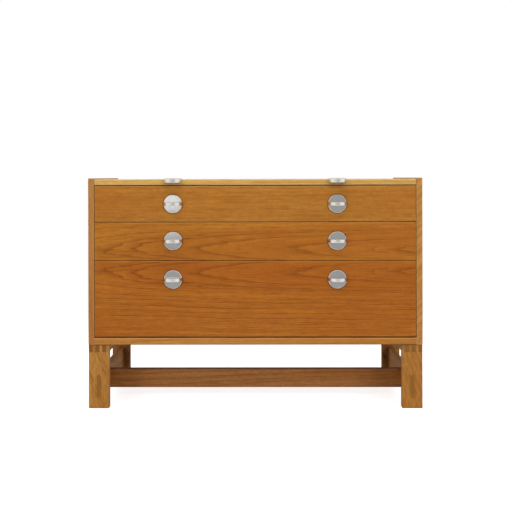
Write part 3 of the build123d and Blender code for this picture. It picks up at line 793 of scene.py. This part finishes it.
def halfMoon(radius):
    # A half-round cup before the plane y = 0, from z = 0 up, with a thin skin left over its mouth below
    look = pullLook
    part = bmesh.new()
    root = look["plate"] - look["wall"]  # the cup's back lies inside the plate
    bmesh.ops.create_circle(part, cap_ends=True, segments=look["steps"], radius=radius)
    whole = part.verts[:] + part.edges[:] + part.faces[:]
    bmesh.ops.bisect_plane(part, geom=whole, plane_co=(0, -root, 0), plane_no=(0, 1, 0), clear_outer=True)
    extruded(part, part.faces[:], (0, 0, look["height"]))
    floor = facesAt(part, 0.0)
    bmesh.ops.inset_region(part, faces=floor, thickness=look["wall"], use_even_offset=True, use_boundary=True)
    extruded(part, floor, (0, 0, look["height"] - look["wall"]))
    outer = [edge for edge in part.edges if onCylinder(edge, radius)]
    bevelled(part, outer, look["softEdge"], look["softSteps"])
    inner = [edge for edge in part.edges if onCylinder(edge, radius - look["wall"])]
    lip = [edge for edge in inner if edge.verts[0].co.z < mergeReach]
    bevelled(part, lip, look["fineEdge"], look["fineSteps"])
    return part


def halfRim(radius):
    # A half ring before the plane y = 0, hanging from z = 0
    look = pullLook
    inner, low, soft, fine = radius - look["wall"], -look["height"], look["softEdge"], look["fineEdge"]
    outline = [(inner, 0)] + arc((inner + fine, low + fine), fine, 180, 270, look["rimFineSteps"])
    outline += arc((radius - soft, low + soft), soft, 270, 360, look["rimSoftSteps"]) + [(radius, 0)]
    part = bmesh.new()
    profile = part.faces.new([part.verts.new((reach, 0, height)) for reach, height in outline])
    whole = list(profile.verts) + list(profile.edges) + [profile]
    bmesh.ops.spin(part, geom=whole, cent=(0, 0, 0), axis=(0, 0, 1), angle=-math.pi, steps=look["steps"] // 2)
    return part


def satinWithin(radius, corner):
    # The satin face's material on a plate's flat face, and the polished rim's outside it
    reach = radius - corner * (1 + pullLook["ease"])
    return lambda face: int(math.hypot(*face.calc_center_median().xy) > reach)


def drawerPull(low, high):
    # An upright disc with a half-moon grip across it
    look = pullLook
    radius = (high.x - low.x) / 2
    middle = Matrix.Translation(((low.x + high.x) / 2, low.y + radius, (low.z + high.z) / 2))
    outward = middle @ Matrix.Rotation(math.radians(90), 4, "X")  # local +Z to -Y
    form = bmesh.new()
    disc = roundPlate(radius, look["plate"], look["chamfer"])
    joined(form, disc, outward, satinWithin(radius, look["chamfer"]))
    joined(form, halfMoon(radius), middle @ Matrix.Translation((0, 0, -look["height"] / 2)), lambda face: 1)
    for across in (-1, 1):
        joined(form, boss(), outward @ Matrix.Translation((across * look["bossApart"], 0, 0)))
    return form


def lidGrip(low, high):
    # A flat disc on the lid, with half a rim hanging before its edge
    look = pullLook
    radius = (high.x - low.x) / 2
    middle = Matrix.Translation(((low.x + high.x) / 2, low.y + radius, high.z - look["lidPlate"]))
    form = bmesh.new()
    disc = roundPlate(radius, look["lidPlate"], look["softEdge"])
    joined(form, disc, middle, satinWithin(radius, look["softEdge"]))
    joined(form, halfRim(radius), middle, lambda face: 1)
    for across in (-1, 1):
        place = Matrix.Translation((across * look["bossApart"], look["bossApart"], 0))
        joined(form, boss(), middle @ place)
    return form


def mounted(node, body, makeForm):
    piece = finished(node + "_turned", makeForm(*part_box(node)), [metals["satinFace"], metals["polishedRim"]])
    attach(piece, body)
    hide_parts(node)


for side in sideNames:
    mounted("lid_grip_" + side, "lid", lidGrip)
    for name in drawerNames:
        mounted(f"{name}_pull_{side}", name, drawerPull)
print("pulls and lid grips made")


# Screws: each keeps the place of its CAD solid, and its slot has a thin skin left over it

screwLook = {
    "segments": 28,
    "shank": 0.5,  # of the head's radius
    "tail": ((1.0, 1.2), (0.35, 0.3), (0.1, 0.0)),  # of the shank's radius; up from the point, of the head's
    "rim": 0.00015,
    "slotHalf": 0.12,  # of the head's radius
    "slotDepth": 0.35,
    "slotMargin": 0.04,
    "panHeight": 0.0024,
    "panCrown": 0.60,
    "panDome": ((0.84, 0.80), (0.96, 0.55), (1.0, 0.35), (1.0, 0.0)),  # of the head's radius and height
    "turnStep": 67.0,  # degrees from one slot to the next
}
wayOf = {"+X": (1, 0, 0), "-X": (-1, 0, 0), "+Y": (0, 1, 0), "+Z": (0, 0, 1), "-Z": (0, 0, -1)}
screwGroups = {
    "back_screws": ("case", ("+Y",), "flat"),
    "base_screws": ("case", ("-Z",), "flat"),
    "runner_screws": ("case", ("+X", "-X"), "flat"),
    "hinge_rail_screws": ("case", ("+Z",), "flat"),
    "hinge_lid_screws": ("lid", ("+Z",), "flat"),
    "lid_grip_screws": ("lid", ("-Z",), "flat"),
}
for name in drawerNames:
    screwGroups[name + "_pull_screws"] = (name, ("+Y",), "pan")


def solidBoxes(node):
    # Lowest and highest corners of each separate solid of a CAD node
    copy = bmesh.new()
    copy.from_mesh(nodes[node].data)
    bmesh.ops.remove_doubles(copy, verts=copy.verts, dist=mergeReach)
    seen, boxes = set(), []
    for first in copy.verts:
        if first in seen:
            continue
        group, waiting = [], [first]
        seen.add(first)
        while waiting:
            vert = waiting.pop()
            group.append(vert.co.copy())
            for edge in vert.link_edges:
                other = edge.other_vert(vert)
                if other not in seen:
                    seen.add(other)
                    waiting.append(other)
        corners = [[pick(point[axis] for point in group) for axis in range(3)] for pick in (min, max)]
        boxes.append((Vector(corners[0]), Vector(corners[1])))
    copy.free()
    return boxes


def screwPart(head, length, kind):
    # Head's top or, for a pan head, its underside on z = 0, and the shank towards -Z
    look = screwLook
    shank = head * look["shank"]
    if kind == "pan":
        levels = [(head * look["panCrown"], look["panHeight"])]
        levels += [(head * wide, look["panHeight"] * tall) for wide, tall in look["panDome"]]
        levels += [(shank, 0.0)]
    else:
        levels = [(head - look["rim"], 0.0), (head, -look["rim"]), (shank, -look["rim"] - (head - shank))]
    levels += [(shank * wide, -length + head * rise) for wide, rise in look["tail"]]
    part = bmesh.new()
    bmesh.ops.create_circle(part, cap_ends=True, segments=look["segments"], radius=levels[0][0],
                            matrix=Matrix.Translation((0, 0, levels[0][1])))
    end = part.faces[:]
    for (radius, height), (newRadius, newHeight) in zip(levels, levels[1:]):
        end = extruded(part, end, (0, 0, newHeight - height), newRadius / radius)
    top = facesAt(part, levels[0][1])
    half = head * look["slotHalf"]
    for edgeOfSlot in (-half, half):
        edges = list({edge for face in top for edge in face.edges})
        verts = list({vert for face in top for vert in face.verts})
        made = bmesh.ops.bisect_plane(part, geom=top + edges + verts, plane_co=(0, edgeOfSlot, 0),
                                      plane_no=(0, 1, 0))["geom"]
        top = [item for item in made if isinstance(item, bmesh.types.BMFace)]
    slot = [face for face in top if abs(face.calc_center_median().y) < half]
    bmesh.ops.inset_region(part, faces=slot, thickness=head * look["slotMargin"], use_even_offset=True)
    extruded(part, slot, (0, 0, -head * look["slotDepth"]))
    return part


for node, (body, ways, kind) in screwGroups.items():
    form = bmesh.new()
    for index, (low, high) in enumerate(solidBoxes(node)):
        middle, size = (low + high) / 2, high - low
        wayOut = Vector(wayOf[ways[0]])
        if len(ways) == 2 and middle.x > 0:  # heads face the middle of the case
            wayOut = Vector(wayOf[ways[1]])
        length = abs(size.dot(wayOut))
        head = min(size) / 2
        top = middle + wayOut * (length / 2)
        if kind == "pan":
            top -= wayOut * screwLook["panHeight"]
            length -= screwLook["panHeight"]
        turn = Matrix.Rotation(math.radians(screwLook["turnStep"] * index), 4, "Z")
        place = Matrix.Translation(top) @ wayOut.to_track_quat("Z", "Y").to_matrix().to_4x4() @ turn
        joined(form, screwPart(head, length, kind), place)
    piece = finished(node + "_slotted", form, [metals["screwSteel"]])
    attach(piece, body)
    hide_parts(node)
print("screws made:", len(screwGroups), "groups")


# Camera: level, before the middle of the front, and shifted for the photograph's framing

cameraPlan = {
    "aside": 0.0112,
    "distance": 2.5965,  # from the plane of the case's front
    "height": 0.7264,
    "turn": 0.43,  # degrees to the left
    "roll": 0.13,
    "lens": 58.15,
    "sensor": 36.0,
    "shift": (0.00723, -0.1540),
}
camera = bpy.data.objects.new("camera", bpy.data.cameras.new("camera"))
camera.location = (cameraPlan["aside"], frontY - cameraPlan["distance"], cameraPlan["height"])
camera.rotation_euler = [math.radians(angle) for angle in (90.0, cameraPlan["roll"], cameraPlan["turn"])]
camera.data.lens = cameraPlan["lens"]
camera.data.sensor_width = cameraPlan["sensor"]
camera.data.shift_x, camera.data.shift_y = cameraPlan["shift"]
scene.collection.objects.link(camera)
scene.camera = camera


# Soft studio light: two large boxes in front, a wide one above, one behind, and a pale room

lampPlan = {
    "leftBox": {"place": (-1.9, -2.3, 1.55), "size": (1.1, 1.3), "power": 26.5},
    "rightBox": {"place": (1.9, -2.3, 1.55), "size": (1.1, 1.3), "power": 25.6},
    "topBox": {"place": (0.0, -0.9, 2.6), "size": (2.4, 1.6), "power": 23.8},
    "backBox": {"place": (0.0, 2.6, 1.7), "size": (2.2, 1.2), "power": 22.0},
}
lampAim = Vector((0.0, 0.0, 0.42))
for name, plan in lampPlan.items():
    lamp = bpy.data.lights.new(name, "AREA")
    lamp.shape = "RECTANGLE"
    lamp.size, lamp.size_y = plan["size"]
    lamp.energy = plan["power"]
    holder = bpy.data.objects.new(name, lamp)
    holder.location = plan["place"]
    holder.rotation_euler = (lampAim - holder.location).to_track_quat("-Z", "Y").to_euler()
    holder.visible_glossy = False  # metal reflects the room instead
    scene.collection.objects.link(holder)

# What metal reflects: a dim end of the room behind the camera, with one window, between pale walls
roomPlan = {
    "ambient": 0.37,
    "dim": 0.50,
    "dimHalf": (0.40, 0.52),
    "walls": 1.0,
    "window": 1.25,
    "windowAcross": (-0.24, -0.075),
    "windowUp": (-0.054, 0.22),
    "windowBehind": (-0.5, -0.3),
    "soft": 0.011,
    "paleInFront": (-0.3, 0.0),
    "paleOverhead": (0.35, 0.55),
}


def seenDirectly(tree):
    # 1 for what the camera, a mirror or a pane of glass sees, and 0 for light on a surface
    rays = addNode(tree, "LightPath").outputs
    mirror = calc(tree, "MAXIMUM", rays["Is Glossy Ray"], rays["Is Transmission Ray"])
    return calc(tree, "MAXIMUM", rays["Is Camera Ray"], mirror)


def between(tree, value, low, high, soft):
    rise = step(tree, value, low - soft, low + soft)
    return calc(tree, "MULTIPLY", rise, step(tree, value, high - soft, high + soft, 1.0, 0.0))


def roomWorld():
    plan = roomPlan
    world = bpy.data.worlds.new("paleRoom")
    world.use_nodes = True
    tree = world.node_tree
    tree.nodes.clear()
    rays = addNode(tree, "LightPath").outputs
    way = addNode(tree, "SeparateXYZ", {0: addNode(tree, "TexCoord").outputs["Generated"]}).outputs
    aside = step(tree, calc(tree, "ABSOLUTE", way[0]), *plan["dimHalf"])
    inFront = step(tree, way[1], *plan["paleInFront"])
    overhead = step(tree, way[2], *plan["paleOverhead"])
    pale = calc(tree, "MAXIMUM", aside, calc(tree, "MAXIMUM", inFront, overhead))
    level = step(tree, pale, 0.0, 1.0, plan["dim"], plan["walls"])
    window = calc(tree, "MULTIPLY", between(tree, way[0], *plan["windowAcross"], plan["soft"]),
                  between(tree, way[2], *plan["windowUp"], plan["soft"]))
    window = calc(tree, "MULTIPLY", window, step(tree, way[1], *plan["windowBehind"], 1.0, 0.0))
    level = calc(tree, "ADD", level, calc(tree, "MULTIPLY", window, plan["window"] - plan["dim"]))
    level = mixed(tree, rays["Is Camera Ray"], level, (1.0, 1.0, 1.0, 1.0))
    white = addNode(tree, "Background", {"Color": (1, 1, 1, 1), "Strength": level}).outputs[0]
    soft = addNode(tree, "Background", {"Color": (1, 1, 1, 1), "Strength": plan["ambient"]}).outputs[0]
    both = addNode(tree, "MixShader", {0: seenDirectly(tree), 1: soft, 2: white}).outputs[0]
    addNode(tree, "OutputWorld", {0: both})
    scene.world = world


roomWorld()


floorPlan = {
    "radius": 2.4,
    "segments": 96,
    "tones": (0.86, 0.89),
    "clouds": ((3.0, 3.0, 3.0), 3.0),
    "lift": 0.74,
    "mirrorLift": 0.30,
    "fade": (0.9, 1.9),
}


def paleFloor():
    # White where nothing shades it: lit near the chest, and evenly white further out
    plan = floorPlan
    form = bmesh.new()
    bmesh.ops.create_circle(form, cap_ends=True, segments=plan["segments"], radius=plan["radius"])
    floor = finished("floor", form, [])
    material, tree, shader = newMaterial("paleFloor")
    where = addNode(tree, "TexCoord").outputs["Object"]
    tree.nodes.remove(shader)
    cloudy = noise(tree, where, *plan["clouds"]).outputs[0]
    colour = mixed(tree, cloudy, *[(tone, tone, tone, 1.0) for tone in plan["tones"]])
    diffuse = addNode(tree, "BsdfDiffuse", {"Color": colour}).outputs[0]
    seen = seenDirectly(tree)
    inMirror = calc(tree, "SUBTRACT", seen, addNode(tree, "LightPath").outputs["Is Camera Ray"])
    strength = calc(tree, "SUBTRACT", calc(tree, "MULTIPLY", seen, plan["lift"]),
                    calc(tree, "MULTIPLY", inMirror, plan["lift"] - plan["mirrorLift"]))
    lift = addNode(tree, "Emission", {"Strength": strength}).outputs[0]
    near = addNode(tree, "AddShader", {0: diffuse, 1: lift}).outputs[0]
    far = addNode(tree, "Emission", {"Strength": 1.0}).outputs[0]
    reach = step(tree, vectorCalc(tree, "LENGTH", where), *plan["fade"])
    both = addNode(tree, "MixShader", {0: calc(tree, "MULTIPLY", reach, seen), 1: near, 2: far}).outputs[0]
    feed(tree, tree.nodes["Material Output"].inputs[0], both)
    floor.data.materials.append(material)
    floor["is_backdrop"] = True


paleFloor()
scene.view_settings.view_transform = "Standard"
print("camera, lamps, room and floor made")

low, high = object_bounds()
